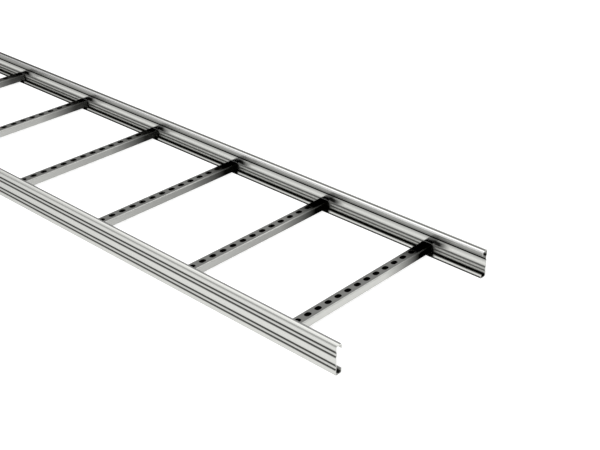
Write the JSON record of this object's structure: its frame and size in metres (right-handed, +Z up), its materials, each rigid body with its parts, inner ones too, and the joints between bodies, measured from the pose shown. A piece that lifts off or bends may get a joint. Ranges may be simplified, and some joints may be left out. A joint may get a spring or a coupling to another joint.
{
  "type": "cable ladder section",
  "caption": "Straight cable ladder section: two beaded, lipped channel side rails joined by slotted channel rungs fixed between their webs.",
  "frame": {"origin": "on the floor, under the middle of the ladder's length and width", "axes": "+X along the side rails, +Y across the ladder along the rungs, +Z up, out of the open side that the cables are laid in from"},
  "size_m": [3, 0.4, 0.054],
  "materials": {
    "galvanised_steel": "bright galvanised sheet, smooth and slightly streaked along the bends"
  },
  "bodies": {
    "root": {"side_rail_left": "galvanised_steel", "side_rail_right": "galvanised_steel", "rung_01": "galvanised_steel", "rung_02": "galvanised_steel", "rung_03": "galvanised_steel", "rung_04": "galvanised_steel", "rung_05": "galvanised_steel", "rung_06": "galvanised_steel", "rung_07": "galvanised_steel", "rung_08": "galvanised_steel", "rung_09": "galvanised_steel", "rung_10": "galvanised_steel", "rung_11": "galvanised_steel", "rung_12": "galvanised_steel"}
  },
  "joints": []
}
